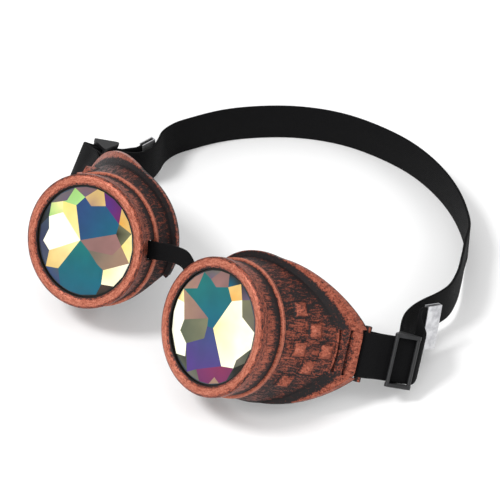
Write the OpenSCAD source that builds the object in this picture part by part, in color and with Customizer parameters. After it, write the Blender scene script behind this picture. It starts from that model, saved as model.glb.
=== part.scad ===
/* [Pair] */
// Distance between the two lens centres
lens_spacing = 77.8; // [74:0.1:84]
// Height of the lens centres above the table
lens_height = 42.9; // [40:0.1:50]
// How far the lens axes point upward, in degrees
pitch = 32.8; // [20:0.1:40]
// How far each lens axis turns toward the other, in degrees
toe_in = 10.2; // [4:0.1:14]
// How far each cup is rolled so that its temple end rises, in degrees
roll = 19.5; // [10:0.1:24]

/* [Bezel ring] */
// How far the ring stands out beyond the cup's neck
ring_step = 1; // [0.6:0.1:3]
// How far the ring's lip reaches over the lens
lip_reach = 0.7; // [0.4:0.1:3]
// Depth of the ring's head, from its crest to its back face
ring_depth = 4; // [3.4:0.1:5]
// Thickness of the lip that holds the lens in
lip_t = 1.7; // [1.3:0.1:2]
// Radius of the rounded front face
ring_round = 3.4; // [2.7:0.1:4]
// Thickness of the skirt that screws into the cup's neck
skirt_t = 1.4; // [1:0.1:2]
// Length of that skirt
skirt_len = 3.9; // [3:0.1:5]
// Rise of the screw thread in one turn
thread_pitch = 3; // [2:0.5:4]

/* [Lens] */
// Diameter of the lens
lens_d = 51.4; // [50.8:0.1:51.8]
// Thickness of the lens at its edge
lens_rim_t = 5; // [4:0.1:6]
// Height of the faceted front above the edge
crown_h = 3.2; // [1.5:0.1:4]
// Thickness of the gasket behind the lens
gasket_t = 1.1; // [0.6:0.1:2]

/* [Eyecup] */
// Thickness of the neck behind the bezel ring
neck_t = 1.65; // [1.2:0.05:2.5]
// Thickness of the cup's walls
wall = 2.2; // [1.8:0.1:2.8]
// Height of the raised rib behind the neck
rib_h = 1.3; // [0.8:0.1:2]
// Growth of the wall's radius for each millimetre of depth
flare = 0.2; // [0.15:0.01:0.24]
// Depth from the ring's front to the face side of the flange at the nose
flange_y = 26.5; // [24:0.1:30]
// Thickness of the flange that lies on the face
flange_t = 2.2; // [1.6:0.1:3]
// How far the flange reaches out beyond the wall, around the eye
flange_reach = 4.7; // [3.6:0.1:7]
// How much narrower the flange is on the cheek, below the nose
cheek_trim = 3.6; // [0:0.1:4.6]
// How much wider than the flange is the curve by which it wraps round the temple
wrap_room = 16.4; // [12:0.1:22]
// Height of the pyramid studs
stud_h = 3.4; // [1.5:0.1:4]
// Side of the pyramid studs
stud_side = 8.8; // [4:0.1:9]

/* [Head strap] */
// Width of the head strap
strap_w = 20; // [16:0.5:20]
// Thickness of the head strap
strap_t = 1.3; // [0.9:0.1:1.4]

/* [Nose band] */
// Width of the elastic band between the cups
band_w = 8; // [6:0.5:8]
// Thickness of the elastic band between the cups
band_t = 1.4; // [1:0.1:1.4]

/* [Hidden] */
$fn = 96;

// Shift from the point between the lenses to the middle of the whole object
middle_x = -1.14;
middle_y = 79.1;

// Colours as in the photograph
copper = [0.62, 0.31, 0.2];
bright_copper = [0.76, 0.42, 0.28];
crystal = [0.75, 0.85, 0.7];
black_elastic = [0.05, 0.05, 0.06];
black_plastic = [0.16, 0.16, 0.17];
grey_metal = [0.82, 0.82, 0.83];
grey_rubber = [0.25, 0.25, 0.25];

// Gaps between pieces
run_gap = 0.05;
small_gap = 0.2;
seat_gap = 0.3;

// Places along the lens axis, from the crest of the ring backward
lens_front_y = lip_t + small_gap;
lens_back_y = lens_front_y + lens_rim_t;
ledge_y = max(lens_back_y + gasket_t + small_gap, ring_depth + skirt_len + seat_gap);
ledge_t = 1.2;
neck_front_y = ring_depth + seat_gap;
band_y = ledge_y + ledge_t + band_t / 2 + 1.1;
window_y = ledge_y - 1.2;
neck_end_y = band_y + band_t / 2 + 1.1;
rib_end_y = neck_end_y + 1.8;
wall_start_y = rib_end_y + 0.2;

// Radii, from the lens outward
opening_r = lens_d / 2 - lip_reach;
ledge_r = lens_d / 2 - 1.7;
pocket_r = lens_d / 2 + small_gap;
skirt_r = pocket_r + skirt_t;
bore_r = skirt_r + run_gap;
neck_r = bore_r + neck_t;
ring_r = neck_r + ring_step;
rib_r = neck_r + rib_h;
wall_r = neck_r + 0.3;
flange_r = wall_r + flange_reach;
wrap_r = flange_r + wrap_room;

function wall_at(y) = wall_r + flare * (y - wall_start_y);

// Flange outline, seen along the lens axis
temple_shift = 8;
temple_r = flange_r - 0.7;
tangent_turn = asin((flange_r - temple_r) / temple_shift);
side_in = 0.1;
cheek_angle = 110;
wrap_x = -6.3;

// Depth of the flange's face side at a distance x toward the temple
function wrap_depth(x) = flange_y + wrap_r - sqrt(pow(wrap_r, 2) - pow(x - wrap_x, 2));

// Notch for the nose
nose_r = 17;
nose_y = flange_y + 8.5;
nose_z = -13.6;
nose_stretch = 1.35;
nose_reach = 15;

// Strap bar across a slot at the temple, its ends sunk in the flange
bar_r = 1.6;
slot_half = strap_w / 2 + 0.8;
bar_x = temple_shift + sqrt(pow(temple_r, 2) - pow(slot_half + 2.3, 2));
bar_y = wrap_depth(bar_x) + 3;
slot_y = bar_y - 4.5;
slot_x = flange_r - 2;
wall_back_y = bar_y + 7;

// Vent slots near the temple
vent_ys = [bar_y - 13, bar_y - 9];
vent_w = 1.2;
vent_half_angle = 15;
vent_rim = 0.5;

// Studs in rows of three, two and one: depth and angle of each
first_row = wall_start_y + 9;
row_step = (vent_ys[0] - 6 - first_row) / 2;
studs = [for (s = [[0, 30], [0, -1], [0, -30], [1, 14], [1, -15], [2, -1]]) [first_row + s[0] * row_step, s[1]]];
stud_sink = 0.6;

// Window for the nose band in the neck, as an angle from the temple side
window_angle = 148;
window_half = asin((band_w / 2 + 0.3) / bore_r);
stop_r = ledge_r + 0.4;

// Strap round its bar, in the plane across the bar: along the strap, then outward
right_turn = 60;
left_turn = 43;
loop_r = bar_r + seat_gap + strap_t / 2;
layer = (strap_t + seat_gap) / 2;
pair_start = 7;

// Sliders: end bars outside the doubled strap, centre bar inside it
slider_reach = 5;
slider_bar_r = 0.9;
slider_bar_v = layer + strap_t / 2 + seat_gap + slider_bar_r;
centre_bar_r = 1;
centre_bar_v = -(layer + strap_t / 2 + 0.35 + centre_bar_r);
centre_bar_u = -0.8;
fold_r = centre_bar_r + 0.35 + strap_t / 2;
slider_rail = 1.6;
slider_half = strap_w / 2 + 0.3;
strap_steps = 3;

// Clips on the strap's tails
clip_t = 0.5;
clip_gap = 0.15;
clip_w = strap_w + 1;
clip_len = 7.6;

// Turns and moves of a cup, as a function, for points that the strap follows
function turn_x(a, p) = [p.x, p.y * cos(a) - p.z * sin(a), p.y * sin(a) + p.z * cos(a)];
function turn_y(a, p) = [p.x * cos(a) + p.z * sin(a), p.y, -p.x * sin(a) + p.z * cos(a)];
function turn_z(a, p) = [p.x * cos(a) - p.y * sin(a), p.x * sin(a) + p.y * cos(a), p.z];
function cup_turned(p) = turn_z(-toe_in, turn_x(-pitch, turn_y(-roll, p)));
function mirrored(side, p) = [side * p.x, p.y, p.z];
function cup_dir(side, p) = mirrored(side, cup_turned(p));
function cup_point(side, p) = mirrored(side, cup_turned(p) + [lens_spacing / 2, 0, lens_height]);
function strap_plane(turn, u, v) = [bar_x + u * cos(turn) + v * sin(turn),
    bar_y + u * sin(turn) - v * cos(turn), 0];
function unit(v) = v / norm(v);

// A station is a point and the direction of the strap's width
function bar_station(side, turn, u, v) =
    [cup_point(side, strap_plane(turn, u, v)), cup_dir(side, [0, 0, 1])];
function upright(x, y, z) = [[x, y, z], [0, 0, 1]];

// The strap's free stretches are laid by hand for one pair. Their points go with the cups' strap bars,
// less and less toward the back of the head, and rise with the strap's width
laid_bar = [84.45, 47.61, 22.84];
laid_w = 20;
function bar_move(side) = cup_point(side, [bar_x, bar_y, 0]) - mirrored(side, laid_bar);
function share(p) = max(0, min(1, (165 - p.y) / 40));
function laid(side, s) = [s[0] + share(s[0]) * bar_move(side) + [0, 0, (strap_w - laid_w) / 2], s[1]];
function all_laid(side, list) = [for (s = list) laid(side, s)];

// A slider's seat: its centre, the strap's direction and the strap's width direction
right_seat = [cup_point(1, strap_plane(right_turn, 18, 0)),
    cup_dir(1, [cos(right_turn), sin(right_turn), 0]), cup_dir(1, [0, 0, 1])];
left_lean = unit([0.1, 0.25, 0.963]);
left_heading = unit(cross(cross(left_lean, [1, 1, -0.36]), left_lean));
left_seat = [laid(-1, [[-96.6, 64.8, 13.4], left_lean])[0], left_heading, left_lean];
function outward(side, seat) = side * cross(seat[1], seat[2]);
function seat_station(side, seat, u, v) = [seat[0] + u * seat[1] + v * outward(side, seat), seat[2]];

// Hand-laid route of the strap behind the sliders, from the point between the lenses
right_tail = all_laid(1, [
    [[91.9, 88.7, 15.1], [-0.15, 0.35, 0.9125]],
    [[90.8, 85.1, 16.3], [-0.15, 0.35, 0.9125]],
    [[89.7, 81.5, 17.5], [-0.15, 0.35, 0.9125]],
    [[89.3, 80.2, 17.9], [-0.15, 0.35, 0.9125]],
    [[90.2, 77.2, 17.8], [-0.16, 0.38, 0.9]],
    [[94.2, 73.4, 16.7], [-0.19, 0.47, 0.86]],
    [[99.2, 69.4, 15.3], [-0.23, 0.55, 0.8]]]);
left_tail = all_laid(-1, [
    [[-85.4, 88.5, 11.2], [0, 0, 1]],
    [[-85.8, 84.7, 11.2], [0, 0, 1]],
    [[-86.2, 80.9, 11.2], [0, 0, 1]],
    [[-86.5, 79.4, 11.2], [0, 0, 1]],
    [[-88.6, 75.4, 11.4], [0.05, 0.12, 0.99]]]);
left_bend = all_laid(-1, [
    [[-93.2, 52.6, 21.2], [0.21, 0.48, 0.85]],
    [[-100.2, 55, 18.6], [0.19, 0.42, 0.88]],
    [[-103.6, 57.2, 17.1], [0.16, 0.34, 0.93]]]);
right_run = all_laid(1, [
    [[86.6, 69.6, 13.6], [-0.17, 0.4, 0.9]],
    [[83.6, 76.4, 14.4], [-0.08, 0.2, 0.98]],
    [[82.6, 84.6, 14.6], [-0.02, 0.06, 1]],
    upright(83.4, 91.1, 14.6),
    upright(84.9, 97.1, 14.5),
    upright(85.5, 105.1, 14.2),
    upright(82.4, 115.1, 13.6),
    upright(76.4, 126.1, 12.6),
    upright(70, 136.6, 11.6)]);
back_run = concat(
    all_laid(1, [
        upright(64.2, 146.6, 10.6),
        upright(55.8, 154.6, 10.05),
        upright(43.1, 163.1, 10.05),
        upright(26.1, 170.1, 10.05),
        upright(5.3, 173.6, 10.05)]),
    all_laid(-1, [
        upright(-10.7, 172.6, 10.05),
        upright(-32.7, 167.1, 10.05),
        upright(-50.7, 157.1, 10.05),
        upright(-65.2, 144.1, 10.05)]));
left_run = all_laid(-1, [
    upright(-77.2, 128.6, 10.05),
    upright(-83.7, 115.1, 10.05),
    upright(-87.2, 105.1, 10.05),
    upright(-86.7, 97.1, 10.5),
    [[-83.4, 90.1, 11], [0, 0.05, 1]],
    [[-81, 83.1, 11.8], [0.02, 0.1, 0.99]],
    [[-82.2, 75.1, 12.6], [0.06, 0.18, 0.98]]]);

// The right end of the strap from the slider's back edge, over the bar, back and out of the slot
right_end = let (turn = right_turn, u0 = 18) concat(
    [for (u = [slider_reach + 1.5, slider_reach, 0, pair_start - u0]) seat_station(1, right_seat, u, layer)],
    [bar_station(1, turn, pair_start / 3, loop_r * 0.95)],
    [for (a = [90 : 30 : 270]) bar_station(1, turn, loop_r * cos(a), loop_r * sin(a))],
    [bar_station(1, turn, pair_start / 3, -loop_r * 0.95)],
    [for (u = [pair_start - u0, centre_bar_u - 3, centre_bar_u]) seat_station(1, right_seat, u, -layer)],
    [for (a = [70, 45, 20, 0])
        seat_station(1, right_seat, centre_bar_u + fold_r * cos(a), centre_bar_v + fold_r * sin(a))],
    [for (v = [1.7, 3.6]) seat_station(1, right_seat, centre_bar_u + fold_r, centre_bar_v - v)]);

// The left end the other way, with a bend between the bar and the slider
function beside(stations, i, v) = let (
    before = i == 0 ? bar_station(-1, left_turn, 3, 0)[0] : stations[i - 1][0],
    after = i == len(stations) - 1 ? left_seat[0] - 7 * left_seat[1] : stations[i + 1][0])
    [stations[i][0] - v * unit(cross(after - before, stations[i][1])), stations[i][1]];
left_end = concat(
    [for (u = [slider_reach + 2, slider_reach, 0, -slider_reach, -slider_reach - 1.2])
        seat_station(-1, left_seat, u, -layer)],
    [for (i = [2, 1, 0]) beside(left_bend, i, -layer)],
    [bar_station(-1, left_turn, pair_start / 3, -loop_r * 0.95)],
    [for (a = [270 : -30 : 90]) bar_station(-1, left_turn, loop_r * cos(a), loop_r * sin(a))],
    [bar_station(-1, left_turn, pair_start / 3, loop_r * 0.95)],
    [for (i = [0, 1, 2]) beside(left_bend, i, layer)],
    [for (u = [-slider_reach - 1.2, -slider_reach, 0, slider_reach, slider_reach + 1.5])
        seat_station(-1, left_seat, u, layer)]);

function reversed(list) = [for (i = [len(list) - 1 : -1 : 0]) list[i]];

strap_route = concat(right_tail, right_end, right_run, back_run, left_run, left_end, reversed(left_tail));

// The nose band from one stop to the other
function band_station(side, r) = [
    cup_point(side, [r * cos(window_angle), band_y, r * sin(window_angle)]),
    cup_dir(side, [sin(window_angle), 0, -cos(window_angle)])];
band_route = concat(
    [for (r = [-0.2, 2.6, 5.6, 8.1]) band_station(1, stop_r + r)],
    [[[4.5, 20.6, lens_height + 2.5], [0, 0.45, 0.89]], [[-2.5, 20.4, lens_height + 1.7], [0, 0.45, 0.89]]],
    [for (r = [8.1, 5.6, 2.6, -0.2]) band_station(-1, stop_r + r)]);

// Smooth curve through stations, with steps between each pair
function chord(s, i) = norm(s[i + 1][0] - s[i][0]);
function slope(s, i, k) =
    i == 0 ? (s[1][k] - s[0][k]) / chord(s, 0) :
    i == len(s) - 1 ? (s[i][k] - s[i - 1][k]) / chord(s, i - 1) :
    ((s[i + 1][k] - s[i][k]) / chord(s, i) * chord(s, i - 1)
        + (s[i][k] - s[i - 1][k]) / chord(s, i - 1) * chord(s, i)) / (chord(s, i) + chord(s, i - 1));
function between(s, i, t, k) = let (h = chord(s, i))
    s[i][k] * (2 * pow(t, 3) - 3 * t * t + 1) + s[i + 1][k] * (3 * t * t - 2 * pow(t, 3))
    + slope(s, i, k) * h * (pow(t, 3) - 2 * t * t + t) + slope(s, i + 1, k) * h * (pow(t, 3) - t * t);
function smooth(s, steps) = [
    for (i = [0 : len(s) - 2]) for (j = [0 : steps - 1]) [between(s, i, j / steps, 0), between(s, i, j / steps, 1)],
    s[len(s) - 1]];
strap_path = smooth(strap_route, strap_steps);
function along(path, i) = unit(path[min(i + 1, len(path) - 1)][0] - path[max(i - 1, 0)][0]);

// Ribbon of rectangular section along a smooth path
module ribbon(path, width, thick) {
    rings = [for (i = [0 : len(path) - 1])
        let (up = unit(path[i][1]), side_dir = unit(cross(up, along(path, i))))
        for (c = [[1, 1], [-1, 1], [-1, -1], [1, -1]])
            path[i][0] + side_dir * c.x * thick / 2 + up * c.y * width / 2];
    n = len(path);
    faces = concat([[3, 2, 1, 0]],
        [for (i = [0 : n - 2]) for (j = [0 : 3]) let (a = 4 * i + j, b = 4 * i + (j + 1) % 4) [a, b, b + 4]],
        [for (i = [0 : n - 2]) for (j = [0 : 3]) let (a = 4 * i + j, b = 4 * i + (j + 1) % 4) [a, b + 4, a + 4]],
        [[4 * n - 4, 4 * n - 3, 4 * n - 2, 4 * n - 1]]);
    polyhedron(rings, faces, convexity = 10);
}

// Moves a shape from the point between the lenses to the object's own origin
module placed() {
    translate([-middle_x, -middle_y, 0]) children();
}

// Puts a shape drawn about a lens axis (y backward, x to the temple) at its cup
module at_cup(side) {
    placed() mirror([side < 0 ? 1 : 0, 0, 0]) translate([lens_spacing / 2, 0, lens_height])
        rotate([0, 0, -toe_in]) rotate([-pitch, 0, 0]) rotate([0, -roll, 0]) children();
}

// Turns a profile of radius and depth about the lens axis
module turned(start = 0, angle = 360) {
    rotate([-90, 0, 0]) rotate_extrude(angle = angle, start = start) children();
}

// Everything on the wearer's side of the flange, moved forward by t
module head_side(t) {
    translate([0, 0, -60]) linear_extrude(120) {
        translate([wrap_x, flange_y + wrap_r]) circle(r = wrap_r + t, $fn = 180);
        translate([wrap_x - 60, flange_y - t]) square([60, 60]);
    }
}

// Flange outline with its round nose side and longer temple side
module even_outline() {
    c = cos(tangent_turn);
    s = sin(tangent_turn);
    circle(r = flange_r);
    translate([temple_shift, 0]) circle(r = temple_r);
    a = flange_r - side_in;
    b = temple_r - side_in;
    polygon([[a * s, a * c], [temple_shift + b * s, b * c], [temple_shift + b * s, -b * c], [a * s, -a * c]]);
}

module flange_outline() {
    intersection() {
        even_outline();
        translate(-cheek_trim * [cos(cheek_angle), sin(cheek_angle)]) even_outline();
    }
}

module flange() {
    difference() {
        intersection() {
            rotate([-90, 0, 0]) translate([0, 0, flange_y - 5]) linear_extrude(45) flange_outline();
            head_side(flange_t);
        }
        head_side(0);
    }
}

module cup_outside() {
    difference() {
        turned() polygon([[0, neck_front_y], [neck_r, neck_front_y], [neck_r, neck_end_y],
            [rib_r, neck_end_y + 0.4], [rib_r, rib_end_y - 0.4], [wall_r, rib_end_y],
            [wall_r, wall_start_y], [wall_at(wall_back_y), wall_back_y], [0, wall_back_y]]);
        head_side(0);
    }
}

module cup_inside() {
    turned() polygon([[0, neck_front_y - 1], [bore_r, neck_front_y - 1], [bore_r, ledge_y],
        [ledge_r, ledge_y], [ledge_r, ledge_y + ledge_t], [wall_r - wall, ledge_y + ledge_t],
        [wall_r - wall, wall_start_y], [wall_at(wall_back_y + 1) - wall, wall_back_y + 1],
        [0, wall_back_y + 1]]);
}

module stud(y, angle) {
    rotate([0, -angle, 0]) translate([wall_at(y) - stud_sink, y, 0]) rotate([0, 0, -atan(flare)])
        rotate([0, 90, 0]) rotate([0, 0, 45])
            cylinder(r1 = stud_side / sqrt(2), r2 = 0, h = stud_h + stud_sink, $fn = 4);
}

module vent_rim_band(y) {
    h = vent_w / 2 + 0.8;
    turned(-vent_half_angle - 1.5, 2 * vent_half_angle + 3)
        polygon([[wall_at(y - h) - 1, y - h], [wall_at(y - h) + 0.1, y - h],
            [wall_at(y - h + 0.4) + vent_rim, y - h + 0.4], [wall_at(y + h - 0.4) + vent_rim, y + h - 0.4],
            [wall_at(y + h) + 0.1, y + h], [wall_at(y + h) - 1, y + h]]);
}

module vent_slot(y) {
    turned(-vent_half_angle, 2 * vent_half_angle)
        translate([wall_r - wall, y - vent_w / 2]) square([15, vent_w]);
}

module eyecup(side) {
    color(copper) at_cup(side) {
        difference() {
            union() {
                cup_outside();
                flange();
                for (s = studs) stud(s[0], s[1]);
                for (y = vent_ys) vent_rim_band(y);
            }
            cup_inside();
            for (y = vent_ys) vent_slot(y);
            // Nose notch
            translate([-60, nose_y, nose_z]) scale([1, 1, nose_stretch]) rotate([0, 90, 0])
                cylinder(r = nose_r, h = 60 - nose_reach);
            // Slot for the strap
            translate([slot_x, slot_y, -slot_half]) cube([20, 20, 2 * slot_half]);
            // Window for the nose band
            turned(-window_angle - window_half, 2 * window_half)
                translate([min(bore_r, wall_r - wall) - 0.3, window_y]) square([6, neck_end_y - window_y]);
        }
        translate([bar_x, bar_y, -slot_half - 1.5]) cylinder(r = bar_r, h = 2 * slot_half + 3, $fn = 48);
    }
}

module bezel_ring(side) {
    crest_r = (ring_r + opening_r) / 2;
    color(bright_copper) at_cup(side) difference() {
        turned() union() {
            intersection() {
                translate([opening_r, 0]) square([ring_r - opening_r, ring_depth]);
                translate([crest_r, ring_round]) circle(r = ring_round);
            }
            translate([opening_r, ring_round]) square([ring_r - opening_r, ring_depth - ring_round]);
            translate([opening_r, ring_depth / 2]) square([skirt_r - opening_r, ring_depth / 2 + skirt_len]);
        }
        turned() translate([0, lip_t]) square([pocket_r, ring_depth + skirt_len]);
    }
}

// Crown of six large kites about the centre, with a kite and rim triangles between each pair
module lens(side) {
    r = lens_d / 2 - 1.4;
    edge_y = lens_front_y;
    ring1 = [for (i = [0 : 5]) [0.68 * r * cos(60 * i), edge_y - 0.72 * crown_h, 0.68 * r * sin(60 * i)]];
    tips = [for (i = [0 : 5]) [0.93 * r * cos(60 * i + 30), edge_y - 0.2 * crown_h, 0.93 * r * sin(60 * i + 30)]];
    color(crystal) at_cup(side) {
        turned() translate([0, lens_front_y]) square([lens_d / 2, lens_rim_t]);
        hull() {
            turned() translate([0, lens_front_y]) square([r, 0.1], $fn = 32);
            translate([0, edge_y - crown_h, 0]) sphere(r = 0.01, $fn = 6);
            for (p = concat(ring1, tips)) translate(p) cube(0.01, center = true);
        }
    }
}

module lens_gasket(side) {
    color(grey_rubber) at_cup(side) turned()
        translate([ledge_r, lens_back_y]) square([lens_d / 2 - ledge_r, gasket_t]);
}

// Folded tab that keeps the end of the nose band inside the cup
module band_stop(side) {
    stop_y = 3;
    stop_w = band_w + 3;
    color(black_plastic) at_cup(side) rotate([0, -window_angle, 0]) difference() {
        translate([stop_r, band_y - stop_y / 2, -stop_w / 2]) cube([2, stop_y, stop_w]);
        translate([stop_r - 4, band_y - band_t / 2 - 0.1, -band_w / 2 - 0.1])
            cube([10, band_t + 0.2, band_w + 0.2]);
    }
}

// Moves a shape drawn along the strap (x), outward (y) and across it (z) to a seat
module at_seat(side, seat) {
    e = seat[1];
    n = outward(side, seat);
    w = side * seat[2];
    c = seat[0];
    placed() multmatrix([[e.x, n.x, w.x, c.x], [e.y, n.y, w.y, c.y], [e.z, n.z, w.z, c.z], [0, 0, 0, 1]])
        children();
}

module slider_bar(u, v, r) {
    translate([u, v, -slider_half - 0.5]) cylinder(r = r, h = 2 * slider_half + 1, $fn = 32);
}

module slider(side, seat) {
    color(black_plastic) at_seat(side, seat) {
        for (u = [-slider_reach, slider_reach]) slider_bar(u, slider_bar_v, slider_bar_r);
        slider_bar(centre_bar_u, centre_bar_v, centre_bar_r);
        for (z = [-slider_half - slider_rail, slider_half])
            translate([0, 0, z]) linear_extrude(slider_rail) hull() {
                for (u = [-slider_reach, slider_reach])
                    translate([u, slider_bar_v]) circle(r = slider_bar_r + 0.2, $fn = 32);
                translate([centre_bar_u, centre_bar_v]) circle(r = centre_bar_r + 0.2, $fn = 32);
            }
    }
}

// Flat metal clip folded over the end of a tail, given by the two ends of its straight stretch
module strap_clip(tip, other) {
    t = unit(other[0] - tip[0]);
    side_dir = unit(cross(tip[1], t));
    up = cross(t, side_dir);
    start = tip[0];
    turned_to = [[t.x, side_dir.x, up.x, start.x], [t.y, side_dir.y, up.y, start.y],
        [t.z, side_dir.z, up.z, start.z], [0, 0, 0, 1]];
    inner_t = strap_t + 2 * clip_gap;
    color(grey_metal) placed() multmatrix(turned_to) difference() {
        translate([-clip_gap - clip_t, -inner_t / 2 - clip_t, -clip_w / 2])
            cube([clip_len, inner_t + 2 * clip_t, clip_w]);
        translate([-clip_gap, -inner_t / 2, -clip_w]) cube([2 * clip_len, inner_t, 2 * clip_w]);
    }
}

module nose_band() {
    color(black_elastic) placed() ribbon(smooth(band_route, 4), band_w, band_t);
}

module head_strap() {
    color(black_elastic) placed() ribbon(strap_path, strap_w, strap_t);
}

eyecup(1);  // right_eyecup
bezel_ring(1);  // right_bezel_ring
lens(1);  // right_lens
lens_gasket(1);  // right_lens_gasket
band_stop(1);  // right_band_stop
slider(1, right_seat);  // right_slider
strap_clip(right_tail[0], right_tail[2]);  // right_strap_clip
eyecup(-1);  // left_eyecup
bezel_ring(-1);  // left_bezel_ring
lens(-1);  // left_lens
lens_gasket(-1);  // left_lens_gasket
band_stop(-1);  // left_band_stop
slider(-1, left_seat);  // left_slider
strap_clip(left_tail[0], left_tail[2]);  // left_strap_clip
nose_band();
head_strap();
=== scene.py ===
"""Looks of the studded copper goggles: finishes, faceted lenses, woven strap and nose band, camera and light.

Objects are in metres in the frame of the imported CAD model, and their places are worked out in millimetres.
A cup's own frame has its lens axis along y (backward), x toward the temple and z up, with the origin at the
crest of the bezel ring, as in the CAD source.
"""
import math

import bpy
from mathutils import Matrix, Vector
from mathutils.geometry import delaunay_2d_cdt


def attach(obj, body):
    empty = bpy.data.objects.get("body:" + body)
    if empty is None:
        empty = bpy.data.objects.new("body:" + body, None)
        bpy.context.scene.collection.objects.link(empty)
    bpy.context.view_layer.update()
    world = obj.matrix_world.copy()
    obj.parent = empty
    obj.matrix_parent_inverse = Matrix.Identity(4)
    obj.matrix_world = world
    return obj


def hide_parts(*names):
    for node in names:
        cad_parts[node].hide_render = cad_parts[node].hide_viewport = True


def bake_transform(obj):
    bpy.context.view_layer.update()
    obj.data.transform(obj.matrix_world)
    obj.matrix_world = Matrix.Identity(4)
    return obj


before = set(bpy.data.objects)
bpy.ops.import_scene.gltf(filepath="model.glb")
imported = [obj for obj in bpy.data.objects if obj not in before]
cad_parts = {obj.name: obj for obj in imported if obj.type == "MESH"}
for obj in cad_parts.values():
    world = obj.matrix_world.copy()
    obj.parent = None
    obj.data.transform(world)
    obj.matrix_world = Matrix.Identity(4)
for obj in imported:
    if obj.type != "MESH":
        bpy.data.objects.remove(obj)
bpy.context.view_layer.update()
MM = 0.001
FULL_TURN = 2 * math.pi

# Places and sizes of the CAD source, in millimetres and degrees
LENS_SPACING, LENS_HEIGHT = 77.8, 42.9
PITCH, TOE_IN, ROLL = 32.8, 10.2, 19.5
MIDDLE = Vector((-1.14, 79.1, 0))
LENS_R, LENS_FRONT_Y, LENS_BACK_Y, CROWN_H = 25.7, 1.9, 6.9, 3.2
OPENING_R, RING_DEPTH, THREAD_PITCH = 25.0, 4.0, 3.0
WALL_R, WALL_START_Y, FLARE = 29.3, 15.0, 0.2
FLANGE_Y, WRAP_X, WRAP_R = 26.5, -6.3, 50.4
TEMPLE_SHIFT, TEMPLE_R = 8.0, 33.3
STRAP_W, STRAP_T = 20.0, 1.3
BAND_W, BAND_T = 8.0, 1.4

# Camera, in millimetres from the point on the floor below the middle of the two lens centres
CAMERA_AT = Vector((476.6, -441.0, 667.9))
CAMERA_BACK = Vector((0.5002, -0.5326, 0.6827))
CAMERA_UP = Vector((-0.4674, 0.4978, 0.7306))
CAMERA_LENS, SENSOR_W = 149.5, 36


def rotation(axis, degrees):
    return Matrix.Rotation(math.radians(degrees), 3, axis)


CUP_TURN = rotation("Z", -TOE_IN) @ rotation("X", -PITCH) @ rotation("Y", -ROLL)


def cup_direction(side, p):
    """A direction of a cup's own frame, in the part's frame. Side is 1 for the right cup, -1 for the left."""
    q = CUP_TURN @ Vector(p)
    return Vector((side * q.x, q.y, q.z))


def cup_point(side, p):
    """A point of a cup's own frame, in millimetres from the floor point between the lenses."""
    return cup_direction(side, p) + Vector((side * LENS_SPACING / 2, 0, LENS_HEIGHT))


def to_part(p):
    """From millimetres about the floor point between the lenses to metres about the part's origin."""
    return (Vector(p) - MIDDLE) * MM


def add_object(name, data):
    obj = bpy.data.objects.new(name, data)
    bpy.context.scene.collection.objects.link(obj)
    return obj


# Camera, floor and light

def look(obj, back, up):
    """Turns a camera or a light so that it looks away from back."""
    right = up.cross(back).normalized()
    true_up = back.cross(right)
    obj.rotation_mode = "QUATERNION"
    obj.rotation_quaternion = Matrix((right, true_up, back)).transposed().to_quaternion()


def add_camera():
    data = bpy.data.cameras.new("camera")
    data.lens = CAMERA_LENS
    data.sensor_width = SENSOR_W
    data.clip_start, data.clip_end = 0.05, 20
    obj = add_object("camera", data)
    obj.location = to_part(CAMERA_AT)
    look(obj, CAMERA_BACK.normalized(), CAMERA_UP)
    bpy.context.scene.camera = obj


def area_light(name, place, aim, size, watts):
    """A round light that shines from place toward aim."""
    data = bpy.data.lights.new(name, "AREA")
    data.shape = "DISK"
    data.size = size
    data.energy = watts
    obj = add_object(name, data)
    obj.location = place
    nearly_up = Vector((0, 0.01, 1))
    look(obj, (Vector(place) - Vector(aim)).normalized(), nearly_up)


def add_studio():
    scene = bpy.context.scene
    scene.view_settings.view_transform = "Standard"
    world = bpy.data.worlds.new("studio")
    world.use_nodes = True
    back = world.node_tree.nodes["Background"]
    back.inputs["Color"].default_value = (1, 1, 1, 1)
    back.inputs["Strength"].default_value = 0.8
    scene.world = world
    aim = (0.02, -0.03, 0.03)
    area_light("key", (-0.35, -0.6, 1.05), aim, size=0.35, watts=7.5)
    area_light("rim", (0.75, 0.35, 0.7), aim, size=0.4, watts=1.5)
    area_light("front", (0.35, -0.95, 0.35), aim, size=0.5, watts=2)
    bpy.ops.mesh.primitive_plane_add(size=12, location=(0, 0, 0))
    floor = bpy.context.object
    floor.name = "floor"
    pale = Shader("floor")
    pale.principled(base=(0.97, 0.97, 0.97), roughness=0.9, specular=0.1)
    floor.data.materials.append(pale.material)


# Node materials

# The Mix node's sockets for colours go by number, because their names repeat
MIX_FACTOR, MIX_FIRST, MIX_SECOND, MIX_RESULT = 0, 6, 7, 2


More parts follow.
